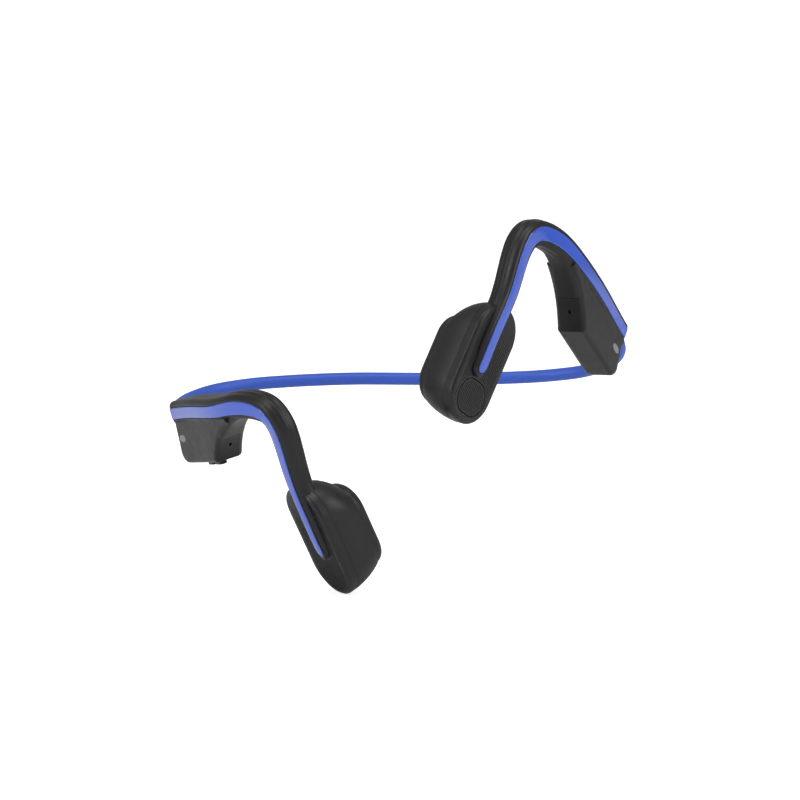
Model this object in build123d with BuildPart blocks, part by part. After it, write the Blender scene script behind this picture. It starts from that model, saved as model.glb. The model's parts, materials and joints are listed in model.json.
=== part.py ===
from build123d import *
import os
from math import radians, tan

# Bone conduction headphones: two ear hooks joined by a neckband that runs behind the neck.
# Millimetres. The origin is the middle of the neckband's back; X points to the wearer's left,
# Y to the back and Z up. Every arm piece is modelled as the left one, in the band's natural shape.
# The right one is its mirror image. Each half then turns about X, one up and one down: the band
# is shown with that twist in it, as the pair lies in front of you.

os.makedirs("parts", exist_ok=True)

# ---------------------------------------------------------------- driving dimensions

twist = {"left": -16.4, "right": 16.4}  # turn of each half about X, degrees
sides = ("left", "right")

# neckband
band_diameter = 3.9
band_half_width = 67.5  # middle of the back to the outer face of the arm's rear end
band_depth = 43.7  # back of the band to the arm's rear end
band_rise = 8.9  # how much higher the arm's rear end is than the back
band_bore = 2.8
wire_diameter = 1.2
leads_diameter = 1.0
strand_offset = 0.7  # the wire and the leads lie this far each side of the centre
ball_radius = 2.4  # end of the band inside the arm, centre of the arm's spread
ball_clearance = 0.3
band_plug = 2.2  # solid end of the sleeve next to the ball

# arm: section across the line of the stripe
rear_width, crown_width, leg_width, boss_width = 7.2, 7.4, 6.0, 5.4
rear_thickness, crown_thickness, leg_thickness = 7.6, 6.6, 6.0
arm_corner = 1.7
outward_rear = Vector(0.86, -0.49, -0.08)
outward_front = Vector(0.78, -0.58, -0.22)

# stripe
stripe_width_rear, stripe_width_crown, stripe_width_end = 3.5, 4.1, 3.5
stripe_depth = 0.9
stripe_proud = 0.15
stripe_gap = 0.12  # groove beyond the stripe on each side
end_bulge = 0.25  # the rounded ends have this much more than half the width as radius
stripe_rim = 1.2  # arm left beyond the groove's rounded end

# leads inside the arm
lead_level = 3.4  # below the outer face
lead_clearance = 0.15
lead_stations = (0.33, 0.41, 0.49, 0.56, 0.63, 0.71, 0.79, 0.86)
lead_entry = ((22.7, 6.6, -3.6), (27.0, 3.2, -3.6))  # in the housing's plane

# housing under the rear of the arm
housing_height = 15.4  # stripe centre down to the bottom
housing_thickness = 9.4
housing_top = 2.4  # its upper edge, hidden in the arm
housing_slant = 2.4  # the rear edge leans back by this much
housing_flat = 24.4  # length of the bottom, from the arm's rear end
neck_step = 0.3
front_sagitta = -1.7  # how far the front curve bows in
housing_neck = 41.0  # where the front curve meets the arm
housing_corner = 3.4
front_corner = 2.2
outer_round = 1.3
inner_round = 2.0
shell_depth = 6.8
wall = 1.3
cavity_start, cavity_end = 0.9, 23.4
cavity_top = 4.9
cavity_corner = 1.2
cover_wall = 1.1
gasket_height = 0.4
gasket_width = 0.5
head_height = 0.8
mic_diameter, mic_length, mic_hole = 1.9, 1.1, 0.9
mic_height, mic_level = 11.0, -4.6
mark_center = (3.4, 7.6)
mark_length, mark_height, mark_depth = 4.6, 2.2, 0.25
screw_diameter, screw_head, screw_length = 1.2, 2.2, 4.6
screw_sites = ((26.0, 8.0), (31.0, 5.6))
thread_clearance = 0.02  # shell's pilot hole round the screw
head_clearance = 0.15
shank_clearance = 0.1
head_sink = 0.1  # the head's face lies this far below the cover's
slot_length, slot_width = 1.32, 0.35
fit_clearance = 0.3

# right housing: charging port and volume buttons on the bottom
port_center = 5.9
port_width, port_height, port_depth = 8.94, 3.2, 7.0
port_mouth_width, port_mouth_height = 8.34, 2.56
round_share = 2.1  # a slot's corner radius is its height over this
cover_length, cover_width, cover_thickness = 9.8, 3.9, 1.1
cover_corner = 1.0
cover_seat = 0.1  # gap under the cover, and around the port's shell
button_length, button_width, button_proud = 4.6, 2.4, 1.2
button_corner, button_crown = 0.9, 0.4
button_centers = {"volume_up": 14.0, "volume_down": 19.7}
button_level = -3.6  # depth of the buttons and the port below the outer face
flange = 0.4
cover_gap = 0.25
button_play = 0.05  # the flange hangs this far below the wall
flange_thickness = 0.6
switch_rise, switch_length, switch_width, switch_height = 2.6, 3.0, 1.6, 2.0
key_length, key_width, key_height = 1.4, 0.9, 0.5
lip_length, lip_width, lip_depth = 7.0, 1.9, 1.2
notch_radius, notch_depth = 0.8, 0.5
tongue_width, tongue_thickness = 6.6, 0.7
port_back = 0.6
board_center, board_size, board_level, board_thickness = (16.1, 8.0), (9.8, 5.4), 1.4, 0.6
chips = ((13.4, 6.8, 3.6, 2.2), (18.2, 6.8, 3.2, 2.2))
chip_thickness = 0.8
light_site, light_radius = (22.3, 9.2), 0.9

# left housing
cell_level, cell_size, cell_thickness, cell_corner = 2.0, (19.2, 6.9), 3.8, 1.0
cell_board_gap, cell_board_thickness = 0.05, 0.5

# pod that holds the transducer
pod_length, pod_width = 35.0, 19.2
pod_corner = 9.0
leg_start = 0.8  # where the straight leg over the pod begins, along the stripe
pod_step = 1.2  # the arm's end stands this far above the pod's face
pod_shift = (-4.5, 2.0)  # pod centre from the arm's end: along the leg, towards the back
cap_depth = 3.2
body_depth = 11.9
pod_depth = 15.1
pad_length, pad_width, pad_corner = 26.4, 16.4, 7.6
taper_depth, taper_length, taper_shift = 7.6, 2.0, 0.3  # where the body starts to taper
panel_length, panel_width, panel_corner = 9.6, 12.6, 4.7
panel_shift = (5.5, 2.0)
panel_thickness = 1.2
panel_flange, panel_flange_level = 0.7, 1.8
cap_round, pad_round = 1.1, 2.8
pad_offset = 1.4  # the pad lies this far down the leg from the pod's centre

# transducer
yoke_level, yoke_height, yoke_wall, yoke_radius = 4.6, 4.6, 0.9, 5.6
magnet_radius, magnet_height = 3.2, 2.8
coil_gap, coil_wall, coil_height = 0.3, 0.7, 3.0
spring_thickness = 0.4
plunger_radius = 2.6
button_board_level, button_board_size, button_board_corner = 3.7, (8.0, 10.6), 3.0
dome_radius, dome_height = 2.0, 0.7

# ---------------------------------------------------------------- reference line and planes

arm_start = Vector(band_half_width, -band_depth, band_rise)
arm_line = (
    (0, 0, 0),
    (-7.1, -14.6, 8.0),
    (-15.3, -29.6, 15.9),
    (-23.6, -39.3, 21.6),
    (-28.3, -43.6, 21.8),
    (-35.5, -47.9, 6.2),
    (-40.5, -51.1, -6.3),
    (-46.1, -51.0, -20.0),
)
with BuildLine() as stripe_line:
    Spline(*[arm_start + Vector(*point) for point in arm_line])
stripe_edge = stripe_line.edges()[0]


def square_to(direction, tangent):
    """The part of a direction that is square to a tangent, at unit length."""
    return (direction - tangent * direction.dot(tangent)).normalized()


def section_plane(t):
    """Section of the arm at t along the stripe: x outward, y to the outside of the hook."""
    tangent = stripe_edge % t
    outward = outward_rear * (1 - t) + outward_front * t
    return Plane(origin=stripe_edge @ t, x_dir=square_to(outward, tangent), z_dir=tangent)


# housing plane: x forward along the arm, y down, z outward
forward = Vector(*arm_line[2]).normalized()
housing_plane = Plane(origin=arm_start, x_dir=forward, z_dir=square_to(outward_rear, forward))

mic_origin = housing_plane.from_local_coords(Vector(cavity_end, mic_height, mic_level))

# pod plane: x down the leg, y to the back, z outward, on the pod's outer face
leg = (stripe_edge @ 1 - stripe_edge @ leg_start).normalized()
pod_normal = square_to(outward_front, leg)
pod_plane = Plane(
    origin=stripe_edge @ 1 - pod_normal * pod_step, x_dir=leg, z_dir=pod_normal
)


def save(piece, name, side):
    """Writes one arm piece: mirrored for the right, then turned with its half of the band."""
    solid = piece.part
    if side == "right":
        solid = solid.mirror(Plane.YZ)
    solid = solid.rotate(Axis.X, twist[side])
    solid.label = f"{name}_{side}"
    export_step(solid, f"parts/{solid.label}.step")


def bend_radii(points):
    """A radius for each corner of a route: 0.45 of its shorter run over the half turn's tangent."""
    radii = []
    for before, corner, after in zip(points, points[1:], points[2:]):
        half_turn = radians((corner - before).get_angle(after - corner) / 2)
        shorter = min((corner - before).length, (after - corner).length)
        radii.append(0.45 * shorter / tan(half_turn))
    return radii


# ---------------------------------------------------------------- neckband, one half at a time

band_end_plane = section_plane(0)
ball_center = band_end_plane.from_local_coords(Vector(-rear_thickness / 2, 0, 0))
band_shape = (
    (0, 0, 0),
    (0.20, 0, 0),
    (0.44, 0.04, 0.01),
    (0.67, 0.12, 0.05),
    (0.85, 0.26, 0.13),
    (0.96, 0.48, 0.29),
    (0.996, 0.74, 0.57),
)  # shares of the half width, the depth and the rise
band_points = [
    Vector(x * band_half_width, -y * band_depth, z * band_rise) for x, y, z in band_shape
]
band_points.append(ball_center)
band_start = Plane(origin=(0, 0, 0), x_dir=(0, 0, 1), z_dir=(1, 0, 0))
with BuildLine() as band_route:
    FilletPolyline(*band_points, radius=bend_radii(band_points))
band_wire = band_route.wires()[0]
print("neckband half length", round(band_wire.length, 1), "mm, bend radii",
      [round(radius) for radius in bend_radii(band_points)])

# the strands stop short of the ball
strand_share = 1 - (band_plug + ball_radius) / band_wire.length

for side in sides:
    # silicone sleeve, bored for the strands, with its moulded ball
    with BuildPart() as band_sleeve:
        with BuildSketch(band_start):
            Circle(band_diameter / 2)
        sweep(path=band_wire)
        with Locations(ball_center):
            Sphere(ball_radius)
        with BuildSketch(band_start):
            Circle(band_bore / 2)
        sweep(path=band_wire.trim(0, strand_share), mode=Mode.SUBTRACT)
    save(band_sleeve, "band_sleeve", side)

    # titanium wire that springs the band back
    with BuildPart() as band_spring:
        with BuildSketch(band_start):
            with Locations((strand_offset, 0)):
                Circle(wire_diameter / 2)
        sweep(path=band_wire.trim(0, strand_share))
    save(band_spring, "band_wire", side)

    # battery and audio leads beside it
    with BuildPart() as band_leads:
        with BuildSketch(band_start):
            with Locations((-strand_offset, 0)):
                Circle(leads_diameter / 2)
        sweep(path=band_wire.trim(0, strand_share))
    save(band_leads, "band_leads", side)

# ---------------------------------------------------------------- arms

# share of the stripe's length, width across the arm, thickness under its face
arm_keys = (
    (0.0, rear_width, rear_thickness),
    (0.3, rear_width, rear_thickness),
    (0.45, crown_width, crown_thickness),
    (0.62, crown_width, crown_thickness),
    (0.78, leg_width, leg_thickness),
    (0.88, leg_width, leg_thickness),
    (1.0, boss_width, leg_thickness),
)
stripe_keys = (
    (0.0, stripe_width_rear, 0),
    (0.3, stripe_width_rear, 0),
    (0.45, stripe_width_crown, 0),
    (0.66, stripe_width_crown, 0),
    (0.8, stripe_width_end, 0),
    (1.0, stripe_width_end, 0),
)
station_count = 31
stations = [number / (station_count - 1) for number in range(station_count)]


def between_keys(keys, t):
    """Width and thickness at t, on straight lines between the keys."""
    for (start, *first), (end, *last) in zip(keys, keys[1:]):
        if t <= end:
            share = (t - start) / (end - start)
            return [a + (b - a) * share for a, b in zip(first, last)]


end_plane = Plane(origin=stripe_edge @ 1, x_dir=pod_plane.x_dir, z_dir=pod_plane.z_dir)


def end_cutter(radius, end_gap):
    """Cuts a flat end to a half circle that stops this far short of the arm's end."""
    with BuildPart() as cutter:
        with BuildSketch(end_plane.offset(-leg_thickness - 2)):
            with Locations((boss_width - radius - end_gap, 0)):
                Rectangle(2 * boss_width, 2 * boss_width)
            with Locations((-radius - end_gap, 0)):
                Circle(radius, mode=Mode.SUBTRACT)
        extrude(amount=leg_thickness + 4)
    return cutter.part


def stripe_body(grow, bottom, top, end_gap):
    """The stripe's body with a rounded end: grown each side, between two levels of its face."""
    cutter = end_cutter(stripe_width_end / 2 + grow + end_bulge, end_gap)
    with BuildPart() as body:
        for t in stations:
            width = between_keys(stripe_keys, t)[0] + 2 * grow
            with BuildSketch(section_plane(t)):
                with Locations(((bottom + top) / 2, 0)):
                    Rectangle(top - bottom, width)
        loft(ruled=True)
        add(cutter, mode=Mode.SUBTRACT)
    return body


# the solid arm, from its rear end to the boss on the pod
arm_end_cutter = end_cutter(boss_width / 2 + end_bulge, 0)
with BuildPart() as arm_solid:
    for t in stations:
        width, thickness = between_keys(arm_keys, t)
        with BuildSketch(section_plane(t)):
            with Locations((-thickness / 2, 0)):
                RectangleRounded(thickness, width, arm_corner)
    loft(ruled=True)
    add(arm_end_cutter, mode=Mode.SUBTRACT)

pod_center_plane = Plane(
    origin=pod_plane.from_local_coords(Vector(pod_shift[0], pod_shift[1], 0)),
    x_dir=pod_plane.x_dir,
    z_dir=pod_plane.z_dir,
)
groove = stripe_body(stripe_gap, -stripe_depth, 1, stripe_rim)
lead_route_points = [
    housing_plane.from_local_coords(Vector(*point)) for point in lead_entry
]
for t in lead_stations:
    lead_route_points.append(section_plane(t).from_local_coords(Vector(-lead_level, 0, 0)))
with BuildLine() as lead_route:
    FilletPolyline(*lead_route_points, radius=bend_radii(lead_route_points))
lead_wire = lead_route.wires()[0]
lead_direction = (lead_wire % 0).normalized()
lead_side = square_to(outward_rear.cross(forward), lead_direction)
lead_start = Plane(origin=lead_wire @ 0, x_dir=lead_side, z_dir=lead_direction)

# what the leads need through the arm, the housing and the pod
with BuildPart() as lead_bore:
    with BuildSketch(lead_start):
        Circle(leads_diameter / 2 + lead_clearance)
    sweep(path=lead_wire)

with BuildPart() as arm:
    add(arm_solid.part)
    add(groove.part, mode=Mode.SUBTRACT)
    # socket for the band's ball
    with Locations(ball_center):
        Sphere(ball_radius + ball_clearance, mode=Mode.SUBTRACT)
    # room for the pod
    with BuildSketch(pod_center_plane):
        RectangleRounded(pod_length, pod_width, pod_corner)
    extrude(amount=-pod_depth, mode=Mode.SUBTRACT)
    add(lead_bore.part, mode=Mode.SUBTRACT)

stripe = stripe_body(0, -stripe_depth, stripe_proud, stripe_rim + stripe_gap)

with BuildPart() as arm_leads:
    with BuildSketch(lead_start):
        Circle(leads_diameter / 2)
    sweep(path=lead_wire)
print("hook leads length", round(lead_wire.length, 1), "mm")

for side in sides:
    save(arm, "arm", side)
    save(stripe, "stripe", side)
    save(arm_leads, "arm_leads", side)

# ---------------------------------------------------------------- housings

recess_depth = cover_thickness + cover_seat
tongue_length = port_depth - port_back - 1.1
cavity_bottom = housing_height - wall
cavity_size = (cavity_end - cavity_start, cavity_bottom - cavity_top)
cavity_center = ((cavity_start + cavity_end) / 2, (cavity_top + cavity_bottom) / 2)
cavity_floor = housing_thickness - cover_wall
gasket_seat = shell_depth + gasket_height
head_top = housing_thickness - head_sink
pilot_depth = screw_length - (head_top - shell_depth) + fit_clearance

with BuildSketch() as housing_outline:
    with BuildLine():
        base = Polyline(
            (0, housing_top),
            (-housing_slant, housing_height),
            (housing_flat, housing_height),
        )
        front = SagittaArc(base @ 1, (housing_neck, rear_width / 2 + neck_step), front_sagitta)
        Polyline(front @ 1, (housing_neck, housing_top), base @ 0)
    make_face()
    bottom_corners = housing_outline.vertices().group_by(Axis.Y)[-1].sort_by(Axis.X)
    fillet(bottom_corners[0], housing_corner)
    fillet(bottom_corners[-1], front_corner)

outward_axis = Axis(housing_plane.origin, housing_plane.z_dir)


def below_arm(edge):
    """True for an edge of the housing that the arm doesn't cover."""
    height = housing_plane.to_local_coords(edge.center()).Y
    return height > rear_width / 2


# the whole housing, rounded and fitted under the arm, before it is parted in two
with BuildPart() as housing_blank:
    with BuildSketch(housing_plane):
        add(housing_outline.sketch)
    extrude(amount=-housing_thickness)
    outer_rim = housing_blank.faces().sort_by(outward_axis)[-1].edges()
    fillet([edge for edge in outer_rim if below_arm(edge)], outer_round)
    inner_rim = housing_blank.faces().sort_by(outward_axis)[0].edges()
    fillet([edge for edge in inner_rim if below_arm(edge)], inner_round)
    add(arm_solid.part, mode=Mode.SUBTRACT)
    with Locations(ball_center):
        Sphere(ball_radius + ball_clearance, mode=Mode.SUBTRACT)
parting_plane = housing_plane.offset(-shell_depth)


def bottom_plane(x, rise):
    """Plane on the housing's bottom, x forward, y outward, z down, this far above it."""
    origin = housing_plane.from_local_coords(Vector(x, housing_height - rise, button_level))
    return Plane(origin=origin, x_dir=housing_plane.x_dir, z_dir=housing_plane.y_dir)


for side in sides:
    with BuildPart() as housing_shell:
        add(housing_blank.part)
        split(bisect_by=parting_plane, keep=Keep.TOP)
        with BuildSketch(housing_plane.offset(-shell_depth)):
            with Locations(cavity_center):
                RectangleRounded(*cavity_size, cavity_corner)
        extrude(amount=shell_depth - wall, mode=Mode.SUBTRACT)
        add(lead_bore.part, mode=Mode.SUBTRACT)
        # shallow seat of the mark
        with BuildSketch(housing_plane):
            with Locations(Location(mark_center)):
                Ellipse(mark_length / 2, mark_height / 2)
        extrude(amount=-mark_depth, mode=Mode.SUBTRACT)
        # pilot holes for the cover's screws
        for site in screw_sites:
            with BuildSketch(housing_plane.offset(-shell_depth)):
                with Locations(site):
                    Circle(screw_diameter / 2 + thread_clearance)
            extrude(amount=pilot_depth, mode=Mode.SUBTRACT)
        # sound hole of the microphone, through the front curve
        with BuildSketch(Plane(origin=mic_origin, x_dir=housing_plane.y_dir, z_dir=forward)):
            Circle(mic_hole / 2)
        extrude(amount=housing_neck - cavity_end, mode=Mode.SUBTRACT)
        if side == "right":
            # the charging port's mouth, with a shallow recess for its cover
            with BuildSketch(bottom_plane(port_center, 0)):
                RectangleRounded(
                    cover_length + 2 * cover_gap, cover_width + 2 * cover_gap, cover_corner
                )
            extrude(amount=-recess_depth, mode=Mode.SUBTRACT)
            with BuildSketch(bottom_plane(port_center, 0)):
                RectangleRounded(
                    port_width + cover_seat, port_height + cover_seat, port_height / round_share
                )
            extrude(amount=-(recess_depth + port_depth + fit_clearance), mode=Mode.SUBTRACT)
            for center in button_centers.values():
                with BuildSketch(bottom_plane(center, 0)):
                    RectangleRounded(
                        button_length + 2 * fit_clearance,
                        button_width + 2 * fit_clearance,
                        button_corner + fit_clearance,
                    )
                extrude(amount=-(wall + fit_clearance), mode=Mode.SUBTRACT)
    save(housing_shell, "housing_shell", side)

    with BuildPart() as housing_cover:
        add(housing_blank.part)
        split(bisect_by=parting_plane, keep=Keep.BOTTOM)
        with BuildSketch(housing_plane.offset(-gasket_seat)):
            with Locations(cavity_center):
                RectangleRounded(*cavity_size, cavity_corner)
        extrude(amount=gasket_seat - cavity_floor, mode=Mode.SUBTRACT)
        # seat of the gasket
        with BuildSketch(housing_plane.offset(-shell_depth)):
            with Locations(cavity_center):
                RectangleRounded(
                    cavity_size[0] + 2 * gasket_width,
                    cavity_size[1] + 2 * gasket_width,
                    cavity_corner + gasket_width,
                )
        extrude(amount=-gasket_height, mode=Mode.SUBTRACT)
        # counterbored screw holes
        for site in screw_sites:
            with BuildSketch(housing_plane.offset(-housing_thickness)):
                with Locations(site):
                    Circle(screw_head / 2 + head_clearance)
            extrude(amount=head_height + head_sink, mode=Mode.SUBTRACT)
            with BuildSketch(housing_plane.offset(-housing_thickness)):
                with Locations(site):
                    Circle(screw_diameter / 2 + shank_clearance)
            extrude(amount=housing_thickness, mode=Mode.SUBTRACT)
    save(housing_cover, "housing_cover", side)

    with BuildPart() as housing_gasket:
        with BuildSketch(housing_plane.offset(-shell_depth)):
            with Locations(cavity_center):
                RectangleRounded(
                    cavity_size[0] + 2 * gasket_width,
                    cavity_size[1] + 2 * gasket_width,
                    cavity_corner + gasket_width,
                )
                RectangleRounded(*cavity_size, cavity_corner, mode=Mode.SUBTRACT)
        extrude(amount=-gasket_height)
    save(housing_gasket, "housing_gasket", side)

    for number, site in enumerate(screw_sites, 1):
        with BuildPart() as cover_screw:
            with BuildSketch(housing_plane.offset(-head_top)):
                with Locations(site):
                    Circle(screw_head / 2)
            extrude(amount=head_height)
            with BuildSketch(housing_plane.offset(-head_top)):
                with Locations(site):
                    Circle(screw_diameter / 2)
            extrude(amount=screw_length)
            # cross recess
            with BuildSketch(housing_plane.offset(-head_top)):
                with Locations(site):
                    Rectangle(slot_length, slot_width)
                    Rectangle(slot_width, slot_length)
            extrude(amount=head_height / 2, mode=Mode.SUBTRACT)
        save(cover_screw, f"cover_screw_{number}", side)

    with BuildPart() as microphone:
        with BuildSketch(Plane(origin=mic_origin, x_dir=housing_plane.y_dir, z_dir=forward)):
            Circle(mic_diameter / 2)
        extrude(amount=-mic_length)
    save(microphone, "microphone", side)

    # plain oval mark near the rear of the outer face, set in flush
    with BuildPart() as mark:
        with BuildSketch(housing_plane):
            with Locations(Location(mark_center)):
                Ellipse(mark_length / 2, mark_height / 2)
        extrude(amount=-mark_depth)
    save(mark, "mark", side)

# ---------------------------------------------------------------- inside the right housing

# main board, upright against the outer wall, with its chips
with BuildPart() as main_board:
    with BuildSketch(housing_plane.offset(-board_level)):
        with Locations((board_center[0], board_center[1])):
            Rectangle(*board_size)
    extrude(amount=-board_thickness)
    with BuildSketch(housing_plane.offset(-board_level - board_thickness)):
        for x, y, width, height in chips:
            with Locations((x, y)):
                Rectangle(width, height)
    extrude(amount=-chip_thickness)
save(main_board, "main_board", "right")

# charging port: a rounded steel shell around its tongue
with BuildPart() as charging_port:
    with BuildSketch(bottom_plane(port_center, recess_depth)):
        RectangleRounded(port_width, port_height, port_height / round_share)
    extrude(amount=-port_depth)
    with BuildSketch(bottom_plane(port_center, recess_depth)):
        RectangleRounded(port_mouth_width, port_mouth_height, port_mouth_height / round_share)
    extrude(amount=-(port_depth - port_back), mode=Mode.SUBTRACT)
    with BuildSketch(bottom_plane(port_center, recess_depth + port_depth - port_back)):
        Rectangle(tongue_width, tongue_thickness)
    extrude(amount=tongue_length)
save(charging_port, "charging_port", "right")

# soft cover of the port, closed, with its plug lip; it turns about its half-round rear end
cover_hinge = bottom_plane(port_center - (cover_length - cover_thickness) / 2, cover_thickness / 2)
cover_side = Plane(origin=cover_hinge.origin, x_dir=cover_hinge.x_dir, z_dir=cover_hinge.y_dir)
with BuildPart() as port_cover:
    with BuildSketch(bottom_plane(port_center, 0)):
        RectangleRounded(cover_length, cover_width, cover_corner)
    extrude(amount=-cover_thickness)
    with BuildSketch(cover_side):
        Circle(cover_thickness / 2)
        with Locations((cover_length / 2, 0)):
            Rectangle(cover_length, cover_thickness)
    extrude(amount=cover_width, both=True, mode=Mode.INTERSECT)
    with BuildSketch(bottom_plane(port_center, cover_thickness)):
        RectangleRounded(lip_length, lip_width, lip_width / round_share)
    extrude(amount=-lip_depth)
    # finger notch at the front end
    with BuildSketch(bottom_plane(port_center, 0)):
        with Locations((cover_length / 2, 0)):
            Circle(notch_radius)
    extrude(amount=-notch_depth, mode=Mode.SUBTRACT)
save(port_cover, "port_cover", "right")

for name, center in button_centers.items():
    # key cap through the wall, with the flange that keeps it in
    with BuildPart() as button:
        with BuildSketch(bottom_plane(center, -button_proud)):
            RectangleRounded(button_length, button_width, button_corner)
        extrude(amount=-(button_proud + wall + fit_clearance))
        crown = button.faces().sort_by(Axis(housing_plane.origin, housing_plane.y_dir))[-1]
        fillet(crown.edges(), button_crown)
        with BuildSketch(bottom_plane(center, wall + button_play)):
            Rectangle(button_length + 2 * flange, button_width + 2 * flange)
        extrude(amount=-flange_thickness)
    save(button, f"{name}_button", "right")

    # tact switch behind it, on the board
    with BuildPart() as switch:
        with BuildSketch(bottom_plane(center, switch_rise + key_height)):
            Rectangle(switch_length, switch_width)
        extrude(amount=-switch_height)
        with BuildSketch(bottom_plane(center, switch_rise)):
            Rectangle(key_length, key_width)
        extrude(amount=-key_height)
    save(switch, f"{name}_switch", "right")

# status light in the lower front of the outer face
with BuildPart() as status_light:
    with BuildSketch(housing_plane.offset(-wall)):
        with Locations(light_site):
            Circle(light_radius)
    extrude(amount=-board_thickness)
save(status_light, "status_light", "right")

# ---------------------------------------------------------------- inside the left housing

with BuildPart() as battery_cell:
    with BuildSketch(housing_plane.offset(-cell_level)):
        with Locations(cavity_center):
            RectangleRounded(*cell_size, cell_corner)
    extrude(amount=-cell_thickness)
save(battery_cell, "battery_cell", "left")

with BuildPart() as battery_board:
    with BuildSketch(housing_plane.offset(-wall - cell_board_gap)):
        with Locations(cavity_center):
            Rectangle(*cell_size)
    extrude(amount=-cell_board_thickness)
save(battery_board, "battery_board", "left")

# ---------------------------------------------------------------- pods

# outlines down the pod's body: depth, length, width, corner, shift down the leg
floor_length, floor_width, floor_corner = pad_length + 1.0, pad_width + 0.6, pad_corner + 0.2
body_slices = (
    (cap_depth, pod_length, pod_width, pod_corner, 0),
    (taper_depth, pod_length - taper_length, pod_width, pod_corner, taper_shift),
    (body_depth, floor_length, floor_width, floor_corner, pad_offset),
)
hollow_slices = (
    (cap_depth, pod_length - 2 * wall, pod_width - 2 * wall, pod_corner - wall, 0),
    (
        body_depth - wall,
        floor_length - 2 * wall,
        floor_width - 2 * wall,
        floor_corner - wall,
        pad_offset,
    ),
)

panel_center = (panel_shift[0] - pod_shift[0], panel_shift[1] - pod_shift[1])

for side in sides:
    with BuildPart() as pod_cap:
        with BuildSketch(pod_center_plane):
            RectangleRounded(pod_length, pod_width, pod_corner)
        extrude(amount=-cap_depth)
        face = pod_cap.faces().sort_by(Axis(pod_plane.origin, pod_plane.z_dir))[-1]
        fillet(face.edges(), cap_round)
        # hollow behind the face
        with BuildSketch(pod_center_plane.offset(-cap_depth)):
            RectangleRounded(pod_length - 2 * wall, pod_width - 2 * wall, pod_corner - wall)
        extrude(amount=cap_depth - wall, mode=Mode.SUBTRACT)
        add(lead_bore.part, mode=Mode.SUBTRACT)
        if side == "left":
            # window of the ribbed button
            with BuildSketch(pod_center_plane):
                with Locations(panel_center):
                    RectangleRounded(
                        panel_length + 2 * fit_clearance,
                        panel_width + 2 * fit_clearance,
                        panel_corner + fit_clearance,
                    )
            extrude(amount=-cap_depth, mode=Mode.SUBTRACT)
    save(pod_cap, "pod_cap", side)

    # tapered body, open towards the cap, with a hole for the exciter in its floor
    with BuildPart() as pod_body:
        for depth, length, width, corner, shift in body_slices:
            with BuildSketch(pod_center_plane.offset(-depth)):
                with Locations((shift, 0)):
                    RectangleRounded(length, width, corner)
        loft()
        for depth, length, width, corner, shift in hollow_slices:
            with BuildSketch(pod_center_plane.offset(-depth)):
                with Locations((shift, 0)):
                    RectangleRounded(length, width, corner)
        loft(mode=Mode.SUBTRACT)
        with BuildSketch(pod_center_plane.offset(-body_depth)):
            with Locations((pad_offset, 0)):
                Circle(plunger_radius + fit_clearance)
        extrude(amount=2 * wall, mode=Mode.SUBTRACT)
    save(pod_body, "pod_body", side)

    # soft pad that touches the cheek
    with BuildPart() as contact_pad:
        with BuildSketch(pod_center_plane.offset(-body_depth)):
            with Locations((pad_offset, 0)):
                RectangleRounded(pad_length, pad_width, pad_corner)
        extrude(amount=-(pod_depth - body_depth))
        touch_face = contact_pad.faces().sort_by(Axis(pod_plane.origin, pod_plane.z_dir))[0]
        fillet(touch_face.edges(), pad_round)
    save(contact_pad, "contact_pad", side)

    # transducer, front to back: yoke cup, magnet, coil and the spring plate with its plunger
    coil_place = Location((pad_offset, 0, 0))
    with BuildPart() as yoke:
        with BuildSketch(pod_center_plane.offset(-yoke_level)):
            with Locations(coil_place):
                Circle(yoke_radius)
        extrude(amount=-yoke_height)
        with BuildSketch(pod_center_plane.offset(-yoke_level - yoke_wall)):
            with Locations(coil_place):
                Circle(yoke_radius - yoke_wall)
        extrude(amount=-yoke_height, mode=Mode.SUBTRACT)
    save(yoke, "transducer_yoke", side)

    with BuildPart() as magnet:
        with BuildSketch(pod_center_plane.offset(-yoke_level - yoke_wall)):
            with Locations(coil_place):
                Circle(magnet_radius)
        extrude(amount=-magnet_height)
    save(magnet, "transducer_magnet", side)

    with BuildPart() as spring_plate:
        with BuildSketch(pod_center_plane.offset(-yoke_level - yoke_height)):
            with Locations(coil_place):
                Circle(yoke_radius)
        extrude(amount=-spring_thickness)
        with BuildSketch(pod_center_plane.offset(-yoke_level - yoke_height - spring_thickness)):
            with Locations(coil_place):
                Circle(plunger_radius)
        extrude(amount=-(body_depth - yoke_level - yoke_height - spring_thickness))
    save(spring_plate, "transducer_spring", side)

    with BuildPart() as coil:
        with BuildSketch(pod_center_plane.offset(-yoke_level - yoke_height)):
            with Locations(coil_place):
                Circle(magnet_radius + coil_gap + coil_wall)
                Circle(magnet_radius + coil_gap, mode=Mode.SUBTRACT)
        extrude(amount=coil_height)
    save(coil, "transducer_coil", side)

# ribbed button in the left pod's face, with the flange that keeps it in
with BuildPart() as ribbed_button:
    with BuildSketch(pod_center_plane):
        with Locations(panel_center):
            RectangleRounded(panel_length, panel_width, panel_corner)
    extrude(amount=-panel_thickness)
    with BuildSketch(pod_center_plane.offset(-panel_flange_level)):
        with Locations(panel_center):
            RectangleRounded(
                panel_length + 2 * panel_flange,
                panel_width + 2 * panel_flange,
                panel_corner + panel_flange,
            )
    extrude(amount=-flange_thickness)
    with BuildSketch(pod_center_plane):
        with Locations(panel_center):
            RectangleRounded(
                panel_length - panel_flange,
                panel_width - panel_flange,
                panel_corner - panel_flange / 2,
            )
    extrude(amount=-panel_flange_level)
save(ribbed_button, "multifunction_button", "left")

# board and dome switch under the left pod's button
with BuildPart() as button_board:
    with BuildSketch(pod_center_plane.offset(-button_board_level)):
        with Locations(panel_center):
            RectangleRounded(*button_board_size, button_board_corner)
    extrude(amount=-cell_board_thickness)
save(button_board, "button_board", "left")

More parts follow.
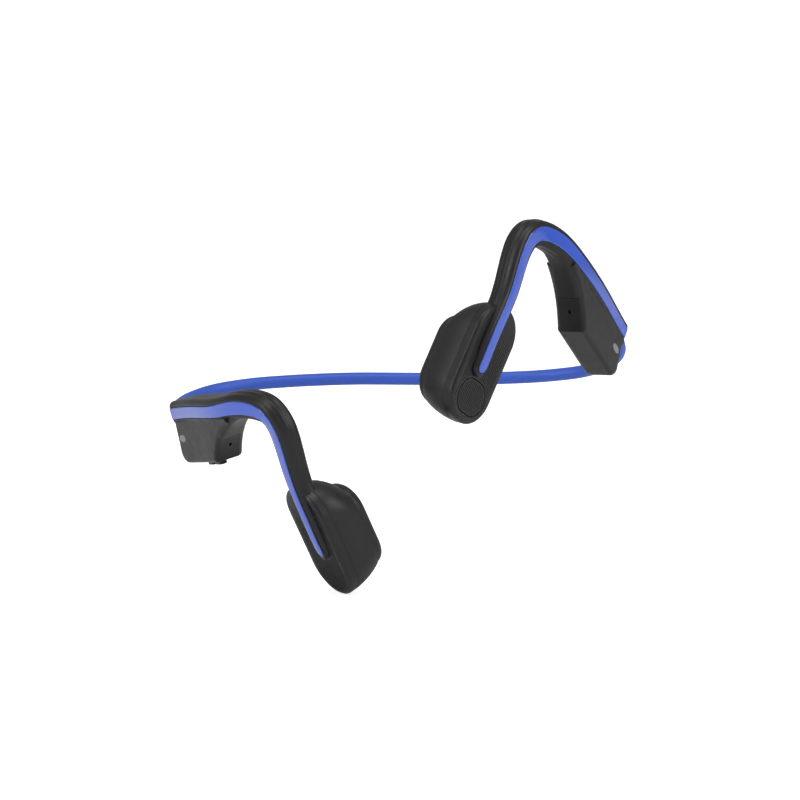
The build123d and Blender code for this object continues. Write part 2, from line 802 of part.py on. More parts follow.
with BuildPart() as dome_switch:
    with BuildSketch(pod_center_plane.offset(-button_board_level)):
        with Locations(panel_center):
            Circle(dome_radius)
    extrude(amount=dome_height)
save(dome_switch, "dome_switch", "left")
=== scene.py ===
import json

import bpy
import numpy as np
from math import radians
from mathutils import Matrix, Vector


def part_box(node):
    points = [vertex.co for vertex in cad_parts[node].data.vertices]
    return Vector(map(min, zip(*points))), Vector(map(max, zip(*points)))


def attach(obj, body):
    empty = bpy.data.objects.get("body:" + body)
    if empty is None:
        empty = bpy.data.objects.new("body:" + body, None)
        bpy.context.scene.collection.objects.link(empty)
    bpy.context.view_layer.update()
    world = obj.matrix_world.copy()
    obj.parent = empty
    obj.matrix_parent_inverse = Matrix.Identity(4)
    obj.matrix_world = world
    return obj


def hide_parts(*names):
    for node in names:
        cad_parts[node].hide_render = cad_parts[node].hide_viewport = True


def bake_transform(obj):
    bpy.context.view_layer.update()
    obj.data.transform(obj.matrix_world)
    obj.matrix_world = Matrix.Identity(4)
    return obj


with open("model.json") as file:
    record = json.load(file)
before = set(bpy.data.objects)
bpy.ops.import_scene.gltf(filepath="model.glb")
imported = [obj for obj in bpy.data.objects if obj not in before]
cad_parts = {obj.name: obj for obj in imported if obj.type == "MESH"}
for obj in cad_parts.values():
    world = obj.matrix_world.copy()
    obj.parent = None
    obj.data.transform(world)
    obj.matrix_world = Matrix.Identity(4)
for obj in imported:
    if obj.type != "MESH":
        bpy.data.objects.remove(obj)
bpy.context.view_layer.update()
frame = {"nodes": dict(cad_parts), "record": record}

MM = 0.001
SIDES = ("left", "right")
nodes = frame["nodes"]


# ------------------------------------------------------------------ arms
# Each ear hook is one moulding of soft-touch black nylon, a rounded bar that runs from the
# neckband over the ear and down the cheek. A groove for the coloured strip runs along its
# outer face. Its front end is a raised, rounded boss on the pod.

ARM_START = np.array([67.5, -43.7, 8.9])
ARM_LINE = np.array([
    [0, 0, 0], [-7.1, -14.6, 8.0], [-15.3, -29.6, 15.9], [-23.6, -39.3, 21.6],
    [-28.3, -43.6, 21.8], [-35.5, -47.9, 6.2], [-40.5, -51.1, -6.3], [-46.1, -51.0, -20.0],
])
OUTWARD_REAR = np.array([0.86, -0.49, -0.08])
OUTWARD_FRONT = np.array([0.78, -0.58, -0.22])
TWIST = {"left": radians(-16.4), "right": radians(16.4)}
ARM_SHARES = [0, 0.3, 0.45, 0.62, 0.78, 0.88, 1]
ARM_WIDTHS = [7.2, 7.2, 7.4, 7.4, 6.0, 6.0, 5.4]
ARM_THICKNESSES = [7.6, 7.6, 6.6, 6.6, 6.0, 6.0, 6.0]
ARM_ROUND = 1.7
ARM_RIDGE = 0.28  # how far the ridge along each side stands out
GROOVE_SHARES = [0, 0.3, 0.45, 0.66, 0.8, 1]
GROOVE_WIDTHS = [3.74, 3.74, 4.34, 4.34, 3.74, 3.74]
GROOVE_DEPTH = 0.9
GROOVE_LIP = 0.14
GROOVE_RIM = 1.2  # arm left beyond the groove's rounded end
GROOVE_END_RADIUS = 2.12
RIDGE_START, RIDGE_RISE, RIDGE_FALL = 0.3, 0.15, 6.0  # shares of the line, then mm from its end
RIDGE_LEVEL, RIDGE_SPREAD = 0.45, 0.2  # shares of the arm's side


def unit(vectors):
    """Each vector over its own length."""
    return vectors / np.linalg.norm(vectors, axis=-1, keepdims=True)


def end_slope(knots, points):
    """Slope at the first knot of the cubic through four points: the sum of each point times the
    slope there of its Lagrange polynomial."""
    slope = np.zeros(3)
    for i in range(4):
        others = [j for j in range(4) if j != i]
        bottom = np.prod([knots[i] - knots[j] for j in others])
        top = sum(
            np.prod([knots[0] - knots[k] for k in others if k != j]) for j in others
        )
        slope += points[i] * top / bottom
    return slope


def stripe_curve(t):
    """Points and unit tangents at shares t of the hook's line: the cubic spline through ARM_LINE,
    its knots spaced by the chords, each span a Hermite cubic."""
    points = ARM_START + ARM_LINE
    chords = np.linalg.norm(np.diff(points, axis=0), axis=1)
    knots = np.concatenate([[0], np.cumsum(chords)]) / chords.sum()
    steps = np.diff(knots)
    count = len(points)
    matrix = np.zeros((count, count))
    right = np.zeros((count, 3))
    matrix[0, 0] = matrix[-1, -1] = 1
    right[0] = end_slope(knots[:4], points[:4])
    right[-1] = end_slope(knots[::-1][:4], points[::-1][:4])
    for i in range(1, count - 1):
        before, after = 1 / steps[i - 1], 1 / steps[i]
        matrix[i, i - 1 : i + 2] = before, 2 * (before + after), after
        right[i] = 3 * (
            (points[i] - points[i - 1]) * before**2 + (points[i + 1] - points[i]) * after**2
        )
    slopes = np.linalg.solve(matrix, right)
    span = np.clip(np.searchsorted(knots, t, side="right") - 1, 0, count - 2)
    step = steps[span][:, None]
    u = ((t - knots[span]) / steps[span])[:, None]
    start, end = points[span], points[span + 1]
    out, into = slopes[span] * step, slopes[span + 1] * step
    place = (
        start * (2 * u**3 - 3 * u**2 + 1)
        + out * (u**3 - 2 * u**2 + u)
        + end * (3 * u**2 - 2 * u**3)
        + into * (u**3 - u**2)
    )
    slope = (
        start * (6 * u**2 - 6 * u)
        + out * (3 * u**2 - 4 * u + 1)
        + end * (6 * u - 6 * u**2)
        + into * (3 * u**2 - 2 * u)
    )
    return place, unit(slope)


def section_frames(t):
    """At each share t: the line's point, the outward direction square to it, the direction to the
    outside of the hook, and the tangent."""
    place, tangent = stripe_curve(t)
    outward = OUTWARD_REAR * (1 - t[:, None]) + OUTWARD_FRONT * t[:, None]
    outward = unit(outward - tangent * np.sum(outward * tangent, axis=1, keepdims=True))
    return place, outward, np.cross(tangent, outward), tangent


def on_side(points, side):
    """Left-hand points in the band's natural shape, in mm, put in place in metres: mirrored in x
    for the right, then turned about X with that half of the band."""
    x, y, z = points[..., 0], points[..., 1], points[..., 2]
    if side == "right":
        x = -x
    cos, sin = np.cos(TWIST[side]), np.sin(TWIST[side])
    return np.stack([x, y * cos - z * sin, y * sin + z * cos], -1) * MM


def solid_skin(name, rings, crease=32, ring_shaped=False):
    """A closed mesh from stacks of rings of points: ring i is joined to ring i + 1 by quads, and
    each stack's first and last rings are filled, or joined to each other where it is ring-shaped.
    Faces are turned outwards by the sign of the first stack's volume."""
    stacks = rings if rings.ndim == 4 else rings[None]
    bars, count, around = stacks.shape[:3]
    index = np.arange(bars * count * around).reshape(bars, count, around)
    if ring_shaped:
        index = np.concatenate([index, index[:, :1]], 1)
    after = np.roll(index, -1, axis=2)
    quads = np.stack([index[:, :-1], after[:, :-1], after[:, 1:], index[:, 1:]], -1)
    points = stacks.reshape(-1, 3)
    corners = (points - stacks[0].mean((0, 1)))[quads[0].reshape(-1, 4)]
    volume = np.einsum("ij,ij->i", corners[:, 0], np.cross(corners[:, 1], corners[:, 2])).sum()
    volume += np.einsum("ij,ij->i", corners[:, 0], np.cross(corners[:, 2], corners[:, 3])).sum()
    faces = quads.reshape(-1, 4).tolist()
    if not ring_shaped:
        faces += index[:, 0, ::-1].tolist() + index[:, -1].tolist()
    if volume < 0:
        faces = [face[::-1] for face in faces]
    mesh = bpy.data.meshes.new(name)
    mesh.from_pydata(points.tolist(), [], faces)
    mesh.shade_smooth()
    mesh.set_sharp_from_angle(angle=radians(crease))
    thing = bpy.data.objects.new(name, mesh)
    bpy.context.collection.objects.link(thing)
    return thing


def rounded_end(distance, radius):
    """Share of the full width at a distance from a half-round end: sqrt(1 - (1 - d/r)^2)."""
    near = np.clip(1 - distance / radius, 0, 0.9999)
    return np.sqrt(1 - near**2)


LINE_LENGTH = 104.4
END_START = 0.955
along = np.concatenate([
    np.linspace(0, END_START, 150),
    END_START + (1 - END_START) * np.sin(np.linspace(0, np.pi / 2, 40)[1:]),
])
place, outward, across, _ = section_frames(along)


def arm_rings():
    """Rings of the arm: at each share of the line, half the section is laid out as levels below
    the outer face and distances across, then mirrored across the line."""
    half = np.interp(along, ARM_SHARES, ARM_WIDTHS) / 2
    depth = np.interp(along, ARM_SHARES, ARM_THICKNESSES)
    to_end = (1 - along) * LINE_LENGTH
    half = half * rounded_end(to_end, ARM_WIDTHS[-1] / 2 + 0.25)
    groove = np.interp(along, GROOVE_SHARES, GROOVE_WIDTHS) / 2
    groove = groove * rounded_end(np.clip(to_end - GROOVE_RIM, 0, None), GROOVE_END_RADIUS)
    groove = np.minimum(groove, np.clip(half - 0.35, 0.01, None))
    floor = np.where(to_end > GROOVE_RIM + 0.02, GROOVE_DEPTH, 0)
    round_ = np.minimum(ARM_ROUND, half * 0.6)
    rise = np.clip((along - RIDGE_START) / RIDGE_RISE, 0, 1)
    ridge = ARM_RIDGE * rise * np.clip(to_end / RIDGE_FALL, 0, 1)
    turn = np.linspace(0, np.pi / 2, 9)
    level, side = [], []
    for y in (0.0, 0.5, 0.97, 1.0):
        level.append(-floor)
        side.append(groove * y)
    level += [-floor * 0.5, -np.minimum(GROOVE_LIP, floor), 0 * half]
    side += [groove, groove, np.minimum(groove + GROOVE_LIP, half - 0.2)]
    flat = half - round_
    level.append(0 * half)
    side.append(np.maximum(side[-1], (side[-1] + flat) / 2))
    for angle in turn:
        level.append(-round_ * (1 - np.cos(angle)))
        side.append(flat + round_ * np.sin(angle))
    for share in np.linspace(0.1, 0.9, 9):
        level.append(-round_ - (depth - 2 * round_) * share)
        side.append(half + ridge * np.exp(-(((share - RIDGE_LEVEL) / RIDGE_SPREAD) ** 2)))
    for angle in turn[::-1]:
        level.append(-depth + round_ * (1 - np.cos(angle)))
        side.append(flat + round_ * np.sin(angle))
    level.append(-depth)
    side.append(flat * 0.5)
    level, side = np.stack(level, 1), np.stack(side, 1)
    level = np.concatenate([level, -depth[:, None], level[:, :0:-1]], 1)
    side = np.concatenate([side, 0 * depth[:, None], -side[:, :0:-1]], 1)
    return (
        place[:, None]
        + outward[:, None] * level[..., None]
        + across[:, None] * side[..., None]
    )


def noise_color(tree, coordinates, scale, detail, low, high):
    """Object-space noise mapped to a range of values."""
    noise = tree.nodes.new("ShaderNodeTexNoise")
    noise.inputs["Scale"].default_value = scale
    noise.inputs["Detail"].default_value = detail
    tree.links.new(coordinates, noise.inputs["Vector"])
    spread = tree.nodes.new("ShaderNodeMapRange")
    spread.inputs["From Min"].default_value = 0.3
    spread.inputs["From Max"].default_value = 0.7
    spread.inputs["To Min"].default_value = low
    spread.inputs["To Max"].default_value = high
    tree.links.new(noise.outputs["Fac"], spread.inputs["Value"])
    return spread.outputs["Result"]


MOTTLE_SCALE, SMEAR_SCALE = 90, 420
GRAIN_DEPTH = 0.0001  # metres


def build_surface_group():
    """Moulded surface: fine grain and slow mottling in object space, with handling wear. It puts
    out a colour, a roughness and a height."""
    group = bpy.data.node_groups.new("moulded_surface", "ShaderNodeTree")
    sockets = group.interface
    sockets.new_socket("Color", in_out="INPUT", socket_type="NodeSocketColor")
    for name in ("Roughness", "Roughness Spread", "Mottle", "Grain Size"):
        sockets.new_socket(name, in_out="INPUT", socket_type="NodeSocketFloat")
    sockets.new_socket("Color", in_out="OUTPUT", socket_type="NodeSocketColor")
    sockets.new_socket("Roughness", in_out="OUTPUT", socket_type="NodeSocketFloat")
    sockets.new_socket("Height", in_out="OUTPUT", socket_type="NodeSocketFloat")
    new, link = group.nodes.new, group.links.new
    source, sink = new("NodeGroupInput"), new("NodeGroupOutput")
    place_ = new("ShaderNodeTexCoord").outputs["Object"]
    slow = noise_color(group, place_, MOTTLE_SCALE, 3, -1, 1)
    smear = noise_color(group, place_, SMEAR_SCALE, 5, -1, 1)
    # colour: the base times one plus the mottle
    amount = new("ShaderNodeMath")
    amount.operation = "MULTIPLY_ADD"
    amount.inputs[2].default_value = 1
    link(slow, amount.inputs[0])
    link(source.outputs["Mottle"], amount.inputs[1])
    tint = new("ShaderNodeVectorMath")
    tint.operation = "SCALE"
    link(source.outputs["Color"], tint.inputs[0])
    link(amount.outputs[0], tint.inputs["Scale"])
    link(tint.outputs[0], sink.inputs["Color"])
    # roughness: its value plus smears
    both = new("ShaderNodeMath")
    both.operation = "ADD"
    link(slow, both.inputs[0])
    link(smear, both.inputs[1])
    rough = new("ShaderNodeMath")
    rough.operation = "MULTIPLY_ADD"
    link(both.outputs[0], rough.inputs[0])
    link(source.outputs["Roughness Spread"], rough.inputs[1])
    link(source.outputs["Roughness"], rough.inputs[2])
    link(rough.outputs[0], sink.inputs["Roughness"])
    # height: spark-eroded grain
    grain = new("ShaderNodeTexNoise")
    grain.inputs["Detail"].default_value = 2
    link(place_, grain.inputs["Vector"])
    link(source.outputs["Grain Size"], grain.inputs["Scale"])
    link(grain.outputs["Fac"], sink.inputs["Height"])
    return group


surface_group = build_surface_group()


def finish_material(name, color, rough, spread=0.04, mottle=0.06, grain=4200, bump=0.12,
                    metallic=0.0, coat=0.0, coat_rough=0.05, specular=0.5):
    """A Principled material on the moulded surface group, with the finish's own values."""
    material = bpy.data.materials.new(name)
    material.use_nodes = True
    tree = material.node_tree
    shader = tree.nodes["Principled BSDF"]
    surface = tree.nodes.new("ShaderNodeGroup")
    surface.node_tree = surface_group
    surface.inputs["Color"].default_value = (*color, 1)
    surface.inputs["Roughness"].default_value = rough
    surface.inputs["Roughness Spread"].default_value = spread
    surface.inputs["Mottle"].default_value = mottle
    surface.inputs["Grain Size"].default_value = grain
    relief = tree.nodes.new("ShaderNodeBump")
    relief.inputs["Strength"].default_value = bump
    relief.inputs["Distance"].default_value = GRAIN_DEPTH
    tree.links.new(surface.outputs["Height"], relief.inputs["Height"])
    tree.links.new(surface.outputs["Color"], shader.inputs["Base Color"])
    tree.links.new(surface.outputs["Roughness"], shader.inputs["Roughness"])
    tree.links.new(relief.outputs["Normal"], shader.inputs["Normal"])
    shader.inputs["Metallic"].default_value = metallic
    shader.inputs["Coat Weight"].default_value = coat
    shader.inputs["Coat Roughness"].default_value = coat_rough
    shader.inputs["Specular IOR Level"].default_value = specular
    return material


def give(thing, material):
    """The material on the whole piece."""
    thing.data.materials.clear()
    thing.data.materials.append(material)


arm_finish = finish_material(
    "arm_soft_plastic", (0.0115, 0.0115, 0.0125), 0.38, bump=0.10, specular=0.42,
)
for side in SIDES:
    arm = solid_skin(f"arm_skin_{side}", on_side(arm_rings(), side))
    give(arm, arm_finish)
    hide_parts(f"arm_{side}")
    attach(arm, f"{side}_arm")


# ------------------------------------------------------------------ stripes
# The coloured strip is moulded in clear-coated blue ABS and pressed into the arm's groove.
# Its face stands just proud and its edges are rounded over; its front end is a half circle.

STRIPE_PROUD = 0.15
STRIPE_ROUND = 0.3
STRIPE_GAP = 0.12
STRIPE_CROWN = 0.06
STRIPE_END_RADIUS = 2.0


def stripe_rings():
    """Rings of the strip: a flat bottom, straight sides, edges rounded over and a slightly
    crowned face, the width shrinking to the rounded end."""
    inside = along[(1 - along) * LINE_LENGTH > GROOVE_RIM + STRIPE_GAP + 0.02]
    where, out, over, _ = section_frames(inside)
    half = np.interp(inside, GROOVE_SHARES, GROOVE_WIDTHS) / 2 - STRIPE_GAP
    to_end = (1 - inside) * LINE_LENGTH - GROOVE_RIM - STRIPE_GAP
    half = half * rounded_end(to_end, STRIPE_END_RADIUS)
    round_ = np.minimum(STRIPE_ROUND, half * 0.5)
    level, side = [0 * half - GROOVE_DEPTH + 0.03], [half]
    for angle in np.linspace(0, np.pi / 2, 7):
        level.append(STRIPE_PROUD - round_ * (1 - np.sin(angle)))
        side.append(half - round_ * (1 - np.cos(angle)))
    for share in (0.66, 0.33):
        level.append(STRIPE_PROUD + STRIPE_CROWN * (1 - share**2) + 0 * half)
        side.append((half - round_) * share)
    level, side = np.stack(level, 1), np.stack(side, 1)
    middle = np.full((len(half), 1), STRIPE_PROUD + STRIPE_CROWN)
    level = np.concatenate([level, middle, level[:, ::-1]], 1)
    side = np.concatenate([side, 0 * middle, -side[:, ::-1]], 1)
    return where[:, None] + out[:, None] * level[..., None] + over[:, None] * side[..., None]


stripe_finish = finish_material(
    "stripe_blue_gloss", (0.026, 0.100, 0.66), 0.14, spread=0.015, mottle=0.03,
    grain=1500, bump=0.02, coat=0.9, coat_rough=0.04,
)
for side in SIDES:
    stripe = solid_skin(f"stripe_skin_{side}", on_side(stripe_rings(), side))
    give(stripe, stripe_finish)
    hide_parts(f"stripe_{side}")
    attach(stripe, f"{side}_arm")


# ------------------------------------------------------------------ neckband
# A thin blue silicone tube over a titanium spring wire and the leads. It is moulded round the
# ball at each end, and a short boot closes the joint where it enters the arm, coloured dark as
# painted shade.

band_finish = finish_material(
    "band_silicone", (0.040, 0.115, 0.60), 0.46, spread=0.03, mottle=0.04, grain=2600, bump=0.06,
)
wire_finish = finish_material(
    "spring_titanium", (0.46, 0.45, 0.44), 0.30, grain=6000, bump=0.08, metallic=1.0,
)
lead_finish = finish_material("lead_jacket", (0.05, 0.05, 0.055), 0.5)
for side in SIDES:
    give(nodes[f"band_sleeve_{side}"], band_finish)
    give(nodes[f"band_wire_{side}"], wire_finish)
    give(nodes[f"band_leads_{side}"], lead_finish)
    give(nodes[f"arm_leads_{side}"], lead_finish)


# ------------------------------------------------------------------ housings
# Behind each ear a flat housing hangs under the arm: a soft-touch nylon shell with a screwed
# cover on its inner side. The right one holds the board, port and keys, the left one the cell.

pad_finish = finish_material(
    "pad_silicone", (0.014, 0.014, 0.015), 0.46, spread=0.05, mottle=0.05, grain=3200, bump=0.08,
    specular=0.42,
)
steel_finish = finish_material(
    "steel_bright", (0.56, 0.55, 0.54), 0.28, grain=5000, bump=0.06, metallic=1.0,
)
board_finish = finish_material("board_green", (0.015, 0.10, 0.045), 0.32, coat=0.4)
foil_finish = finish_material("cell_foil", (0.58, 0.59, 0.61), 0.35, bump=0.2, metallic=1.0)
copper_finish = finish_material("winding_copper", (0.62, 0.27, 0.13), 0.3, metallic=1.0)
gasket_finish = finish_material("gasket_rubber", (0.012, 0.012, 0.012), 0.7)
mark_finish = finish_material("mark_print", (0.24, 0.245, 0.26), 0.38, mottle=0.1)
light_finish = finish_material("light_pipe", (0.7, 0.7, 0.69), 0.4)
finishes = {
    "arm plastic": arm_finish, "stripe gloss": stripe_finish, "band silicone": band_finish,
    "pad silicone": pad_finish, "mark print": mark_finish, "spring wire": wire_finish,
    "steel": steel_finish, "lead jacket": lead_finish, "board": board_finish,
    "cell foil": foil_finish, "copper": copper_finish, "gasket rubber": gasket_finish,
    "light pipe": light_finish,
}
for part in frame["record"]["subparts"]:
    give(nodes[part["node"]], finishes[part["material_slot"]])


# ------------------------------------------------------------------ neck webs
# The moulding runs on from each housing's front in a rounded web under the arm, which dies out
# towards the crown. It is one with the arm and has the same soft-touch finish.

WEB_START, WEB_FULL, WEB_END = 27.0, 32.5, 52.0  # along the arm
WEB_DROP, WEB_POWER = 7.0, 2.1
WEB_DEPTHS = (9.2, 6.5)
WEB_ROUND = 1.9
WEB_SINK = 0.12  # below the arm's outer face
WEB_DROP_START = 30.0  # along the arm, where the drop is WEB_DROP
WEB_OVERLAP = 0.25  # into the arm's lower side
WEB_TUCK, WEB_SHRINK = 0.8, 0.45  # how far its rear end draws into the housing


def web_rings():
    """Rings of the web: a rounded bar from the arm's middle down to a lower edge that falls from
    the arm by a power of the run left, with rounded corners along it."""
    run = np.concatenate([
        np.linspace(WEB_START, WEB_FULL, 12), np.linspace(WEB_FULL, WEB_END, 60)[1:],
    ])
    where, out, over, _ = section_frames(run / LINE_LENGTH)
    half = np.interp(run / LINE_LENGTH, ARM_SHARES, ARM_WIDTHS) / 2
    left = np.clip((WEB_END - run) / (WEB_END - WEB_DROP_START), 0, None)
    drop = half - WEB_OVERLAP + WEB_DROP * left**WEB_POWER
    hidden = np.clip((WEB_FULL - run) / (WEB_FULL - WEB_START), 0, 1)
    drop = drop * (1 - WEB_SHRINK * hidden)
    share = np.clip((run - WEB_FULL) / (WEB_END - WEB_FULL), 0, 1)
    depth = WEB_DEPTHS[0] + (WEB_DEPTHS[1] - WEB_DEPTHS[0]) * share - WEB_TUCK * hidden
    sink = WEB_SINK + WEB_TUCK * hidden
    turn = np.linspace(0, np.pi / 2, 9)
    level, side_ = [-sink], [0 * run]
    for angle in turn:
        level.append(-sink - WEB_ROUND * (1 - np.cos(angle)))
        side_.append(-drop + WEB_ROUND * (1 - np.sin(angle)))
    for angle in turn[::-1]:
        level.append(-depth + WEB_ROUND * (1 - np.cos(angle)))
        side_.append(-drop + WEB_ROUND * (1 - np.sin(angle)))
    level.append(-depth)
    side_.append(0 * run)
    level, side_ = np.stack(level, 1), np.stack(side_, 1)
    return where[:, None] + out[:, None] * level[..., None] + over[:, None] * side_[..., None]


for side in SIDES:
    web = solid_skin(f"neck_web_{side}", on_side(web_rings(), side))
    give(web, arm_finish)
    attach(web, f"{side}_arm")


# ------------------------------------------------------------------ boots
# A short sleeve over each of the band's ends, where the moulded ball turns in the arm; its
# dark navy colour is painted shade where the band enters the arm. It is pushed on.

BOOT_LENGTH = 5.2
BOOT_RADIUS_ARM, BOOT_RADIUS_BAND = 2.75, 2.08
FOLD_HEIGHT, FOLD_SHARE, FOLD_SPREAD = 0.1, 0.55, 0.06
LIP_SHARE = 0.97  # the last share of the boot, drawn in by as much
BALL = place[0] - outward[0] * ARM_THICKNESSES[0] / 2
BAND_LAST = np.array([67.23, -32.34, 5.07])


def boot_rings():
    """Circles along the band's last straight run, their radius falling from the arm to the band
    by the square of the share left, with one small fold in the middle."""
    run = unit(BAND_LAST - BALL)
    first = unit(np.cross(run, np.array([0.0, 0.0, 1.0])))
    second = np.cross(run, first)
    share = np.linspace(0, 1, 40)
    radius = BOOT_RADIUS_BAND + (BOOT_RADIUS_ARM - BOOT_RADIUS_BAND) * (1 - share) ** 2
    radius = radius + FOLD_HEIGHT * np.exp(-(((share - FOLD_SHARE) / FOLD_SPREAD) ** 2))
    radius = radius * np.where(share > LIP_SHARE, LIP_SHARE, 1)
    turn = np.linspace(0, 2 * np.pi, 48, endpoint=False)
    circle = first * np.cos(turn)[:, None] + second * np.sin(turn)[:, None]
    middle = BALL + run * (share * BOOT_LENGTH)[:, None]
    return middle[:, None] + circle[None] * radius[:, None, None], run


# the boot's dark navy colour is painted shade: it darkens the band's end where it enters the arm
painted_shade_boot_finish = finish_material(
    "painted_shade_boot", (0.010, 0.018, 0.075), 0.5, mottle=0.04, grain=2600, bump=0.07,
)
for side in SIDES:
    rings, run = boot_rings()
    boot = solid_skin(f"boot_{side}", on_side(rings, side))
    give(boot, painted_shade_boot_finish)
    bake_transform(boot)


# ------------------------------------------------------------------ pods
# Each pod is a cap of soft-touch nylon and a softer body, glued round a narrow seam. Fine ribs
# are moulded in the cap's face, and in the panel set in the left one, which is the button.

POD_STEP, POD_SHIFT = 1.2, (-4.5, 2.0)
POD_LENGTH, POD_WIDTH, POD_CORNER = 35.0, 19.2, 9.0
CAP_DEPTH = 3.2
FACE_MARGIN = 1.35
RIB_PITCH, RIB_WIDTH, RIB_HEIGHT = 0.8, 0.46, 0.13
RIB_FADE = (-13.0, -3.0)  # along the pod, where the ribs rise from nothing to full height
PANEL_CENTER, PANEL_LENGTH, PANEL_WIDTH, PANEL_CORNER = 10.0, 9.6, 12.6, 4.7
BOSS_END, BOSS_SIDE, BOSS_RADIUS = 4.5, -2.0, 3.3
RIB_TIP, RIB_SINK, RIB_LEAST = 0.35, 0.06, 0.7  # rounded tip, depth below the face, least length
WINDOW_GAP, PANEL_INSET = 0.55, 0.25  # ribs stop this far outside and inside the button's edge
SEAM_CORNERS = ((0.03, 0.16), (0.03, -0.16), (-0.5, -0.16), (-0.5, 0.16))  # outward, level

line_end = place[-1]
leg = unit(line_end - stripe_curve(np.array([0.8]))[0][0])
pod_out = unit(OUTWARD_FRONT - leg * (OUTWARD_FRONT @ leg))
pod_across = np.cross(pod_out, leg)
pod_center = line_end - pod_out * POD_STEP + leg * POD_SHIFT[0] + pod_across * POD_SHIFT[1]


def on_pod(x, y, z):
    """Points from distances down the leg, to the back and outward from the pod's face."""
    return (
        pod_center + leg * x[..., None] + pod_across * y[..., None] + pod_out * z[..., None]
    )


def slot_reach(y, length, width, corner):
    """Half the length of a rounded rectangle at each height y; below zero outside it."""
    past = np.clip(np.abs(y) - (width / 2 - corner), 0, None)
    inside = np.clip(corner**2 - past**2, 0, None)
    reach = length / 2 - corner + np.sqrt(inside)
    return np.where(np.abs(y) < width / 2, reach, -1)


def rib_stack(y, start, end):
    """One stack of half-elliptic rings per rib: the height follows the rib's rounded ends and
    fades out up the face."""
    share = np.linspace(0, 1, 48)
    x = start[:, None] + (end - start)[:, None] * share
    from_end = np.minimum(x - start[:, None], end[:, None] - x)
    tip = np.sqrt(np.clip(from_end / RIB_TIP, 0.0004, 1))
    rise = np.clip((x - RIB_FADE[0]) / (RIB_FADE[1] - RIB_FADE[0]), 0.02, 1)
    turn = np.linspace(0, np.pi, 7)
    z = RIB_HEIGHT * np.sin(turn) * (tip * rise)[..., None]
    z = np.concatenate([z, np.full((*x.shape, 2), -RIB_SINK)], -1)
    across_ = np.concatenate([np.cos(turn), [-0.9, 0.9]]) * RIB_WIDTH / 2
    y = y[:, None, None] + across_ * tip[..., None]
    return on_pod(np.broadcast_to(x[..., None], z.shape), y, z)


rib_lines = np.arange(-9, 10) * RIB_PITCH
face_reach = slot_reach(
    rib_lines, POD_LENGTH - 2 * FACE_MARGIN, POD_WIDTH - 2 * FACE_MARGIN, POD_CORNER - FACE_MARGIN
)
boss_past = np.clip(BOSS_RADIUS**2 - (rib_lines - BOSS_SIDE) ** 2, 0, None)
face_start = np.where(
    boss_past > 0, BOSS_END - ARM_WIDTHS[-1] / 2 + np.sqrt(boss_past), -face_reach + 0.6
)
window_reach = slot_reach(
    rib_lines, PANEL_LENGTH + 2 * WINDOW_GAP, PANEL_WIDTH + 2 * WINDOW_GAP, PANEL_CORNER + 0.5
)
panel_reach = slot_reach(
    rib_lines, PANEL_LENGTH - 2 * PANEL_INSET, PANEL_WIDTH - 2 * PANEL_INSET,
    PANEL_CORNER - PANEL_INSET,
)
over_window = window_reach > 0
first_end = np.where(over_window, PANEL_CENTER - window_reach, face_reach)
starts = np.concatenate([face_start, (PANEL_CENTER + window_reach)[over_window]])
ends = np.concatenate([first_end, face_reach[over_window]])
lines = np.concatenate([rib_lines, rib_lines[over_window]])
long_enough = ends - starts > RIB_LEAST
split_ribs = lines[long_enough], starts[long_enough], ends[long_enough]
whole_ribs = rib_lines, face_start, face_reach
on_panel = panel_reach > 0.5

outline_turn = np.linspace(0, 2 * np.pi, 160, endpoint=False)


def slot_outline(length, width, corner, grow):
    """Points round a rounded rectangle, grown outwards: each direction's corner centre plus the
    corner's radius along that direction."""
    cos, sin = np.cos(outline_turn), np.sin(outline_turn)
    x = np.sign(cos) * (length / 2 - corner) + cos * (corner + grow)
    y = np.sign(sin) * (width / 2 - corner) + sin * (corner + grow)
    return x, y


def seam_rings():
    """The seam's narrow bead: four corners carried round the pod's outline."""
    rings = []
    for grow, level in SEAM_CORNERS:
        x, y = slot_outline(POD_LENGTH, POD_WIDTH, POD_CORNER, grow)
        rings.append(on_pod(x, y, np.full_like(x, level - CAP_DEPTH)))
    return np.stack(rings, 1)


for side in SIDES:
    split_face = side == "left"
    cap_ribs = solid_skin(
        f"cap_ribs_{side}",
        on_side(rib_stack(*(split_ribs if split_face else whole_ribs)), side),
        crease=60,
    )
    give(cap_ribs, arm_finish)
    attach(cap_ribs, f"{side}_arm")
    seam = solid_skin(f"pod_seam_{side}", on_side(seam_rings(), side), ring_shaped=True)
    give(seam, gasket_finish)
    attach(seam, f"{side}_arm")

button_ribs = solid_skin(
    "button_ribs_left",
    on_side(
        rib_stack(
            rib_lines[on_panel],
            (PANEL_CENTER - panel_reach)[on_panel],
            (PANEL_CENTER + panel_reach)[on_panel],
        ),
        "left",
    ),
    crease=60,
)
give(button_ribs, arm_finish)
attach(button_ribs, "multifunction")


# ------------------------------------------------------------------ floor, light and camera
# A white sweep and soft studio light: a wide overhead panel, two side panels and a dim dome.

